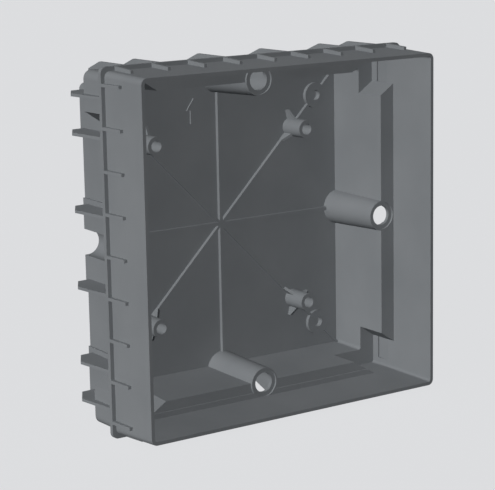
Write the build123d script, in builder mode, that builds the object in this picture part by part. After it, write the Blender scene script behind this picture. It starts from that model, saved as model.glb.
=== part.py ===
from build123d import *
from math import sqrt
import os

# Flush mounting box: one moulding that is set into a wall, open to the front.
# Sizes are in millimetres. A depth is measured back from the front rim, and a
# "half" is a distance from the box's middle line to one of its four sides.

# Depths of the levels, from the front rim back
RIB_START = 15.8
SHELF = 29.3
FLANGE_FRONT = 29.8
FLANGE_REAR = 32.1
POCKET_FLOOR = 46.6
FIN_CORNER = 54.3
FIN_REAR = 65.5
BACK_THICKNESS = 2.5
DEPTH = 69.3
BACK_FACE = DEPTH - BACK_THICKNESS

# Collar, flange and outside ribs
COLLAR_HALF = 85.0
COLLAR_WALL = 1.7
COLLAR_DRAFT = 0.041
COLLAR_RADIUS = 3.0
FLANGE_HALF = COLLAR_HALF + 3.2
FLANGE_RADIUS = 3.0
RIB_COUNT = 9
RIB_PITCH = 20.0
RIB_WIDTH = 1.5
RIB_RISE = 2.3

# Body behind the flange, a step smaller than the collar, and the pockets in its four corners
BODY_HALF_FRONT = COLLAR_HALF - 6.2
BODY_HALF_REAR = BODY_HALF_FRONT - 1.6
BODY_WALL_FRONT = 3.7
SIDE_WALL_REAR = 3.0
END_WALL_REAR = 3.5
BODY_RADIUS = 3.0
SIDE_POCKET_HALF = COLLAR_HALF - COLLAR_WALL
END_POCKET_HALF = SIDE_POCKET_HALF - 0.7
POCKET_WALL = 2.8
POCKET_RADIUS = COLLAR_RADIUS - COLLAR_WALL

# Half lengths of the plates between the pockets, at the body wall and at the pocket's far side
SIDE_PLATE = (61.2, 67.6)
END_PLATE = (55.6, 69.9)

# Catch recesses in the side walls of the pockets, and the sunk plates behind the top and bottom ledges
CATCH_FRONT = 34.0
CATCH_REAR = 42.4
CATCH_SINK = 0.8
CATCH_END = 79.1
PLATE_SINK = 1.0
LEDGE_WIDTH = 2.6

# Fins that key the body into the plaster
FIN_PLACES = (18.5, 55.3, 73.8)
FIN_WIDTH = 1.4
SIDE_FIN_REACH = 2.2
FIN_TAPER = 3.9
FIN_SLOPE = 0.8
PANEL_MARGIN = 2.5
PANEL_SINK = 1.0

# Screw tubes in the middle of each side
TUBE_PLACE = BODY_HALF_FRONT - 3.1
TUBE_RADIUS_FRONT = 7.75
TUBE_RADIUS_REAR = 9.0
TUBE_BORE = 5.05
TUBE_SINK_RADIUS = 7.1
TUBE_SINK_DEPTH = 1.0
CHANNEL_GAP = 0.5
CHANNEL_RADIUS = 6.4

# Back wall: rays, bosses and rings
RAY_WIDTH = 1.8
DIAGONAL_WIDTH = 1.2
RAY_HEIGHT = 2.0
BOSS_PLACE = 45.3
BOSS_HEIGHT = 14.4
BOSS_RADIUS = 4.7
BOSS_BORE = 2.85
BOSS_BORE_DEPTH = 13.0
GUSSET_REACH = 9.2
GUSSET_HEIGHT = 6.0
GUSSET_WIDTH = 1.4
RING_PLACE = 60.5
RING_RADIUS = 6.5
RING_HOLE = 2.6
RING_HEIGHT = 2.0
RING_HOLE_DEPTH = 3.0

OVERLAP = 1.0
SIDE_ANGLES = (0, 90, 180, 270)


def level(depth):
    """Plane across the box at this depth: local x is +X, local y is +Z."""
    return Plane(origin=(0, depth - DEPTH / 2, FLANGE_HALF), x_dir=(1, 0, 0), z_dir=(0, -1, 0))


def side(angle, along):
    """Plane that stands on one side wall: local x is depth from the rim, local y is outwards."""
    out = Vector(1, 0, 0).rotate(Axis.Y, angle)
    along_wall = Vector(0, 1, 0).cross(out)
    origin = level(0).origin + along_wall * along
    return Plane(origin=origin, x_dir=(0, 1, 0), z_dir=along_wall)


def square_block(front, front_half, rear, rear_half, radius):
    """Block between two depths, with drafted sides and rounded edges; a half is (across, up)."""
    with BuildPart() as block:
        for depth, (across, up) in ((front, front_half), (rear, rear_half)):
            with BuildSketch(level(depth)):
                RectangleRounded(2 * across, 2 * up, radius)
        loft()
    return block.part


def corner_blocks(front, rear, wall):
    """The pockets in the four corners between two depths, or the blocks a wall's thickness round them."""
    near = BODY_HALF_REAR - END_WALL_REAR
    outline = ((END_PLATE[0], near), (END_PLATE[1], END_POCKET_HALF), (SIDE_POCKET_HALF, END_POCKET_HALF),
               (SIDE_POCKET_HALF, SIDE_PLATE[1]), (near, SIDE_PLATE[0]))
    with BuildPart() as blocks:
        with BuildSketch(level(front)) as corner:
            Polygon(*outline, align=None)
            if wall > 0:
                offset(amount=wall, kind=Kind.INTERSECTION)
            fillet(corner.vertices().sort_by(SortBy.DISTANCE)[-1], POCKET_RADIUS + wall)
            mirror(about=Plane.YZ)
            mirror(about=Plane.XZ)
        extrude(amount=front - rear)
    return blocks.part


def blades(profile, angle, places, width):
    """Upright blades across one side wall, from a profile of depth and distance outwards."""
    with BuildPart() as row:
        with BuildSketch(*(side(angle, place) for place in places)):
            Polygon(*profile, align=None)
        extrude(amount=width / 2, both=True)
    return row.part


# Outer form: collar, flange, body and corner blocks
near_half = BODY_HALF_REAR - SIDE_WALL_REAR
flange_collar_half = COLLAR_HALF + COLLAR_DRAFT * FLANGE_FRONT
collar = square_block(0, (COLLAR_HALF, COLLAR_HALF), FLANGE_FRONT,
                      (flange_collar_half, flange_collar_half), COLLAR_RADIUS)
flange = square_block(FLANGE_FRONT, (FLANGE_HALF, FLANGE_HALF), FLANGE_REAR, (FLANGE_HALF, FLANGE_HALF),
                      FLANGE_RADIUS)
body = square_block(FLANGE_REAR, (BODY_HALF_FRONT, BODY_HALF_FRONT), DEPTH,
                    (BODY_HALF_REAR, BODY_HALF_REAR), BODY_RADIUS)
outer_corners = corner_blocks(FLANGE_REAR, POCKET_FLOOR + POCKET_WALL, POCKET_WALL)

# Ribs in front of the flange and fins behind it, the same number on every side
rib_profile = ((RIB_START, COLLAR_HALF), (RIB_START, COLLAR_HALF + RIB_RISE), (FLANGE_FRONT, FLANGE_HALF),
               (FLANGE_FRONT, COLLAR_HALF))
rib_places = [RIB_PITCH * (number - (RIB_COUNT - 1) / 2) for number in range(RIB_COUNT)]
fin_places = [sign * place for place in FIN_PLACES for sign in (-1, 1)]

blade_rows = []
for angle in SIDE_ANGLES:
    upright_side = angle % 180 == 0
    fin_half = FLANGE_HALF + (SIDE_FIN_REACH if upright_side else 0)
    fin_profile = ((FLANGE_REAR, near_half), (FLANGE_REAR, FLANGE_HALF), (FIN_CORNER, fin_half),
                   (FIN_REAR - FIN_SLOPE, FLANGE_HALF - FIN_TAPER), (FIN_REAR, near_half))
    blade_rows.append(blades(rib_profile, angle, rib_places, RIB_WIDTH))
    blade_rows.append(blades(fin_profile, angle, fin_places, FIN_WIDTH))

# Shallow panels sunk into the body between the first and the second fin
panel_profile = ((FLANGE_REAR, BODY_HALF_FRONT - PANEL_SINK), (DEPTH, BODY_HALF_REAR - PANEL_SINK),
                 (DEPTH, FLANGE_HALF), (FLANGE_REAR, FLANGE_HALF))
panel_place = (FIN_PLACES[0] + FIN_PLACES[1]) / 2
panel_width = FIN_PLACES[1] - FIN_PLACES[0] - FIN_WIDTH - 2 * PANEL_MARGIN
panels = [blades(panel_profile, angle, (-panel_place, panel_place), panel_width) for angle in SIDE_ANGLES]

# Space inside: collar, body, and the pockets in the four corners
collar_space = square_block(-OVERLAP, (SIDE_POCKET_HALF, SIDE_POCKET_HALF), SHELF,
                            (SIDE_POCKET_HALF, END_POCKET_HALF), POCKET_RADIUS)
body_front_half = BODY_HALF_FRONT - BODY_WALL_FRONT
body_space = square_block(SHELF, (body_front_half, body_front_half), BACK_FACE,
                          (near_half, BODY_HALF_REAR - END_WALL_REAR), BODY_RADIUS / 2)
pockets = corner_blocks(SHELF, POCKET_FLOOR, 0)
catch_profile = ((CATCH_FRONT, near_half), (CATCH_FRONT, SIDE_POCKET_HALF),
                 (CATCH_REAR, SIDE_POCKET_HALF + CATCH_SINK), (CATCH_REAR, near_half))
catch_place = (SIDE_PLATE[1] + CATCH_END) / 2
catches = [blades(catch_profile, angle, (-catch_place, catch_place), CATCH_END - SIDE_PLATE[1])
           for angle in (0, 180)]
plate_profile = ((SHELF, near_half - OVERLAP), (SHELF + PLATE_SINK, near_half - OVERLAP),
                 (SHELF + PLATE_SINK, END_POCKET_HALF - LEDGE_WIDTH), (SHELF, END_POCKET_HALF - LEDGE_WIDTH))
sunk_plates = [blades(plate_profile, angle, (0,), 2 * END_PLATE[1]) for angle in (90, 270)]

# Screw tubes in the middle of the sides, wider towards the back
with BuildPart(level(SHELF)) as tubes:
    with PolarLocations(TUBE_PLACE, 4):
        Cone(TUBE_RADIUS_REAR, TUBE_RADIUS_FRONT, BACK_FACE - SHELF,
             align=(Align.CENTER, Align.CENTER, Align.MAX))

# One small boss on the back wall; of its three gussets one points inwards, to the middle of the box
with BuildPart() as gusset:
    with BuildSketch(Plane.XZ):
        Polygon((0, 0), (GUSSET_REACH, 0), (GUSSET_REACH, RAY_HEIGHT), (BOSS_RADIUS, GUSSET_HEIGHT),
                (0, GUSSET_HEIGHT), align=None)
    extrude(amount=GUSSET_WIDTH / 2, both=True)

with BuildPart() as boss:
    Cylinder(BOSS_RADIUS, BOSS_HEIGHT, align=(Align.CENTER, Align.CENTER, Align.MIN))
    with PolarLocations(0, 3, start_angle=180):
        add(gusset.part)

# Rays, rings and bosses raised from the back wall
with BuildPart(level(BACK_FACE)) as back_relief:
    with BuildSketch(level(BACK_FACE)):
        for turn, width in ((0, RAY_WIDTH), (90, RAY_WIDTH), (45, DIAGONAL_WIDTH), (135, DIAGONAL_WIDTH)):
            Rectangle(4 * BODY_HALF_REAR, width, rotation=turn)
    extrude(amount=RAY_HEIGHT)
    with GridLocations(2 * RING_PLACE, 2 * RING_PLACE, 2, 2):
        Cylinder(RING_RADIUS, RING_HEIGHT, align=(Align.CENTER, Align.CENTER, Align.MIN))
    with PolarLocations(BOSS_PLACE * sqrt(2), 4, start_angle=45):
        add(boss.part)

with BuildPart() as space:
    add(collar_space)
    add(body_space)
    add(pockets)
    for recess in catches + sunk_plates:
        add(recess)
    add(tubes.part, mode=Mode.SUBTRACT)
    add(back_relief.part, mode=Mode.SUBTRACT)

with BuildPart() as flush_box:
    add(collar)
    add(flange)
    add(body)
    add(outer_corners)
    for panel in panels:
        add(panel, mode=Mode.SUBTRACT)
    for row in blade_rows:
        add(row)
    add(space.part, mode=Mode.SUBTRACT)

    # Screw seats and bores of the tubes, and the open channels behind them
    with BuildSketch(level(SHELF)):
        with PolarLocations(TUBE_PLACE, 4):
            Circle(TUBE_SINK_RADIUS)
    extrude(amount=-TUBE_SINK_DEPTH, mode=Mode.SUBTRACT)
    with BuildSketch(level(SHELF)):
        with PolarLocations(TUBE_PLACE, 4):
            Circle(TUBE_BORE)
    extrude(amount=-DEPTH, mode=Mode.SUBTRACT)
    with BuildSketch(level(FLANGE_REAR + CHANNEL_GAP)):
        with PolarLocations(TUBE_PLACE, 4):
            Circle(CHANNEL_RADIUS)
            Rectangle(CHANNEL_RADIUS * 4, CHANNEL_RADIUS * 2, align=(Align.MIN, Align.CENTER))
    extrude(amount=-DEPTH, mode=Mode.SUBTRACT)

    # Blind bores of the bosses and the rings
    with BuildSketch(level(BACK_FACE - BOSS_HEIGHT)):
        with GridLocations(2 * BOSS_PLACE, 2 * BOSS_PLACE, 2, 2):
            Circle(BOSS_BORE)
    extrude(amount=-BOSS_BORE_DEPTH, mode=Mode.SUBTRACT)
    with BuildSketch(level(BACK_FACE - RING_HEIGHT)):
        with GridLocations(2 * RING_PLACE, 2 * RING_PLACE, 2, 2):
            Circle(RING_HOLE)
    extrude(amount=-RING_HOLE_DEPTH, mode=Mode.SUBTRACT)

os.makedirs("parts", exist_ok=True)
flush_box.part.label = "flush_box"
export_step(flush_box.part, "parts/flush_box.step")
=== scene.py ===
from math import radians

import bpy
from mathutils import Matrix, Vector


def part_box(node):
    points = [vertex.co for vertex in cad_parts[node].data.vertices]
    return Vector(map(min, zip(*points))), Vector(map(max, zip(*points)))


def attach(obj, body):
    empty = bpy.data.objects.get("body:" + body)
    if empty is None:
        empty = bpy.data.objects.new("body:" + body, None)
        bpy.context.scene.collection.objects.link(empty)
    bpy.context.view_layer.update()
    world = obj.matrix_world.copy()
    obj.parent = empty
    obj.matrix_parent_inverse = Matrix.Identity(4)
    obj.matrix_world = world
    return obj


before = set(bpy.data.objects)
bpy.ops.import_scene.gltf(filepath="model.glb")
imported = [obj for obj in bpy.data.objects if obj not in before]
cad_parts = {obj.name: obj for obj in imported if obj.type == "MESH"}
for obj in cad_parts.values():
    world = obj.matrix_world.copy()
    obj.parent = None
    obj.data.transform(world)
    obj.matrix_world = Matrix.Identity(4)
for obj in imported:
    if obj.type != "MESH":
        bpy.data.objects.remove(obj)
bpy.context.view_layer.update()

BOX = "flush_box"

# The photograph's camera, in the frame's metres and degrees
IMAGE_WIDTH = 495
CAMERA_PLACE = Vector((-0.50592, -0.72009, 0.25804))
CAMERA_HEADING = -34.812
CAMERA_PITCH = -11.317
CAMERA_ROLL = -1.078
FOCAL_PIXELS = 1816.3
SENSOR_WIDTH = 36.0

# Lamps: name, where the light comes from, spread in degrees, strength, whether it casts a
# shadow, and whether it shows as gloss
LAMPS = (
    ("key_left", (-0.83, -0.315, 0.44), 20, 3.18, False, True),
    ("key_soft", (-0.8, -0.5, 0.35), 60, 0.25, True, True),
    ("fill_back", (0.6, 0.8, -0.1), 20, 1.4, False, False),
)
SURROUND = (0.94, 0.97, 1.0)
SURROUND_STRENGTH = 0.02

# Paper behind the box, and the floor, which glows to the same tone where it is seen
PAPER = (0.716, 0.723, 0.738)
FLOOR_HALF = 12.0
FLOOR_TINT = (0.12, 0.121, 0.124)
FLOOR_GLOW = 0.918

# Moulded plastic: its two linear colours, then the flow marks and the grain of its surface
PLASTIC = (0.196, 0.207, 0.217)
PLASTIC_DARK = (0.178, 0.189, 0.199)
SPECULAR_LEVEL = 0.06
FLOW_SCALE = 26
FLOW_DETAIL = 5
FLOW_RANGE = (0.35, 0.65)
ROUGHNESS = (0.74, 0.86)
GRAIN_SCALE = 2600
GRAIN_DETAIL = 3
GRAIN_STRENGTH = 0.12
GRAIN_DEPTH = 0.0001

# The raised arrow on the back wall: its middle line, its heights above the box's middle,
# its half widths, and how far it stands out. It is sunk into the wall by as much.
BACK_WALL_DEPTH = 0.0668
ARROW_X = -0.0143
ARROW_FOOT = 0.0522
ARROW_NECK = 0.0590
ARROW_TIP = 0.0648
ARROW_HEAD_HALF = 0.0042
ARROW_STEM_HALF = 0.0020
ARROW_HEIGHT = 0.0008


def make_camera():
    camera = bpy.data.objects.new("camera", bpy.data.cameras.new("camera"))
    bpy.context.collection.objects.link(camera)
    camera.data.sensor_width = SENSOR_WIDTH
    camera.data.lens = FOCAL_PIXELS * SENSOR_WIDTH / IMAGE_WIDTH
    turn = Matrix.Rotation(radians(CAMERA_HEADING), 4, "Z")
    turn @= Matrix.Rotation(radians(90 + CAMERA_PITCH), 4, "X")
    turn @= Matrix.Rotation(radians(CAMERA_ROLL), 4, "Z")
    camera.matrix_world = Matrix.Translation(CAMERA_PLACE) @ turn
    bpy.context.scene.camera = camera


def make_lamps():
    """A wide key from the upper left with a soft shadowed part, and a fill from behind."""
    for name, direction, spread, strength, shadow, gloss in LAMPS:
        lamp = bpy.data.objects.new(name, bpy.data.lights.new(name, "SUN"))
        bpy.context.collection.objects.link(lamp)
        lamp.data.angle = radians(spread)
        lamp.data.energy = strength
        lamp.data.use_shadow = shadow
        lamp.visible_glossy = gloss
        lamp.rotation_euler = Vector(direction).to_track_quat("Z", "Y").to_euler()


def seen_rays(nodes, links):
    """1 for the rays that show the background: camera, glossy and transmission rays."""
    light_path = nodes.new("ShaderNodeLightPath")
    seen = light_path.outputs["Is Camera Ray"]
    for ray in ("Is Glossy Ray", "Is Transmission Ray"):
        either = nodes.new("ShaderNodeMath")
        either.operation = "MAXIMUM"
        links.new(seen, either.inputs[0])
        links.new(light_path.outputs[ray], either.inputs[1])
        seen = either.outputs[0]
    return seen


def make_surround():
    """A weak even light from all round, and plain paper where the view goes past the floor."""
    world = bpy.data.worlds.new("surround")
    bpy.context.scene.world = world
    world.use_nodes = True
    nodes, links = world.node_tree.nodes, world.node_tree.links
    around = nodes["Background"]
    around.inputs["Color"].default_value = (*SURROUND, 1)
    around.inputs["Strength"].default_value = SURROUND_STRENGTH
    paper = nodes.new("ShaderNodeBackground")
    paper.inputs["Color"].default_value = (*PAPER, 1)
    shown = nodes.new("ShaderNodeMixShader")
    links.new(seen_rays(nodes, links), shown.inputs["Fac"])
    links.new(around.outputs["Background"], shown.inputs[1])
    links.new(paper.outputs["Background"], shown.inputs[2])
    links.new(shown.outputs["Shader"], nodes["World Output"].inputs["Surface"])


def make_floor():
    """A wide pale floor that shows as even paper to the camera and keeps the shadow."""
    corners = [(-FLOOR_HALF, -FLOOR_HALF, 0), (FLOOR_HALF, -FLOOR_HALF, 0),
               (FLOOR_HALF, FLOOR_HALF, 0), (-FLOOR_HALF, FLOOR_HALF, 0)]
    mesh = bpy.data.meshes.new("floor")
    mesh.from_pydata(corners, [], [(0, 1, 2, 3)])
    mesh.materials.append(pale_floor())
    floor = bpy.data.objects.new("floor", mesh)
    bpy.context.collection.objects.link(floor)


def pale_floor():
    """A matt floor with a glow that lights nothing and shows as the background does."""
    material = bpy.data.materials.new("pale_floor")
    material.use_nodes = True
    nodes, links = material.node_tree.nodes, material.node_tree.links
    nodes.clear()
    matt = nodes.new("ShaderNodeBsdfDiffuse")
    matt.inputs["Color"].default_value = (*FLOOR_TINT, 1)
    dark = nodes.new("ShaderNodeEmission")
    dark.inputs["Strength"].default_value = 0
    glow = nodes.new("ShaderNodeEmission")
    glow.inputs["Color"].default_value = (*PAPER, 1)
    glow.inputs["Strength"].default_value = FLOOR_GLOW
    shown = nodes.new("ShaderNodeMixShader")
    links.new(seen_rays(nodes, links), shown.inputs["Fac"])
    links.new(dark.outputs[0], shown.inputs[1])
    links.new(glow.outputs[0], shown.inputs[2])
    both = nodes.new("ShaderNodeAddShader")
    links.new(matt.outputs[0], both.inputs[0])
    links.new(shown.outputs[0], both.inputs[1])
    out = nodes.new("ShaderNodeOutputMaterial")
    links.new(both.outputs[0], out.inputs["Surface"])
    return material


def noise(nodes, links, place, scale, detail):
    """A noise over the object's own coordinates."""
    texture = nodes.new("ShaderNodeTexNoise")
    texture.inputs["Scale"].default_value = scale
    texture.inputs["Detail"].default_value = detail
    links.new(place.outputs["Object"], texture.inputs["Vector"])
    return texture.outputs["Fac"]


def moulded_plastic():
    """Dark grey moulded plastic: faint flow marks in the colour and a fine matt grain."""
    material = bpy.data.materials.new("moulded_plastic")
    material.use_nodes = True
    nodes, links = material.node_tree.nodes, material.node_tree.links
    shader = nodes["Principled BSDF"]
    shader.inputs["Specular IOR Level"].default_value = SPECULAR_LEVEL
    place = nodes.new("ShaderNodeTexCoord")

    flow = noise(nodes, links, place, FLOW_SCALE, FLOW_DETAIL)
    tint = nodes.new("ShaderNodeValToRGB")
    colours = (PLASTIC_DARK, PLASTIC)
    for element, position, colour in zip(tint.color_ramp.elements, FLOW_RANGE, colours):
        element.position = position
        element.color = (*colour, 1)
    links.new(flow, tint.inputs["Fac"])
    links.new(tint.outputs["Color"], shader.inputs["Base Color"])

    gloss = nodes.new("ShaderNodeMapRange")
    gloss.inputs["To Min"].default_value = ROUGHNESS[0]
    gloss.inputs["To Max"].default_value = ROUGHNESS[1]
    links.new(flow, gloss.inputs["Value"])
    links.new(gloss.outputs["Result"], shader.inputs["Roughness"])

    bump = nodes.new("ShaderNodeBump")
    bump.inputs["Strength"].default_value = GRAIN_STRENGTH
    bump.inputs["Distance"].default_value = GRAIN_DEPTH
    links.new(noise(nodes, links, place, GRAIN_SCALE, GRAIN_DETAIL), bump.inputs["Height"])
    links.new(bump.outputs["Normal"], shader.inputs["Normal"])
    return material


def raised_arrow(material, front, centre_z):
    """A plain block arrow that points up, raised from the back wall."""
    right_half = ((ARROW_STEM_HALF, ARROW_FOOT), (ARROW_STEM_HALF, ARROW_NECK),
                  (ARROW_HEAD_HALF, ARROW_NECK), (0, ARROW_TIP))
    outline = right_half + tuple((-across, up) for across, up in reversed(right_half[:-1]))
    raised = front + BACK_WALL_DEPTH - ARROW_HEIGHT
    sunk = raised + 2 * ARROW_HEIGHT
    points = [(ARROW_X + across, depth, centre_z + up)
              for depth in (raised, sunk) for across, up in outline]
    count = len(outline)
    faces = [tuple(range(count)), tuple(range(2 * count - 1, count - 1, -1))]
    faces += [(number, number + count, (number + 1) % count + count, (number + 1) % count)
              for number in range(count)]
    mesh = bpy.data.meshes.new("raised_arrow")
    mesh.from_pydata(points, [], faces)
    mesh.materials.append(material)
    arrow = bpy.data.objects.new("raised_arrow", mesh)
    bpy.context.collection.objects.link(arrow)
    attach(arrow, "root")


def dress(node, material):
    """Gives a node of the model its material."""
    mesh = bpy.data.objects[node].data
    mesh.materials.clear()
    mesh.materials.append(material)


bpy.context.scene.view_settings.view_transform = "Standard"
make_camera()
make_lamps()
make_surround()
make_floor()
plastic = moulded_plastic()
dress(BOX, plastic)
lowest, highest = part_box(BOX)
raised_arrow(plastic, lowest[1], (lowest[2] + highest[2]) / 2)
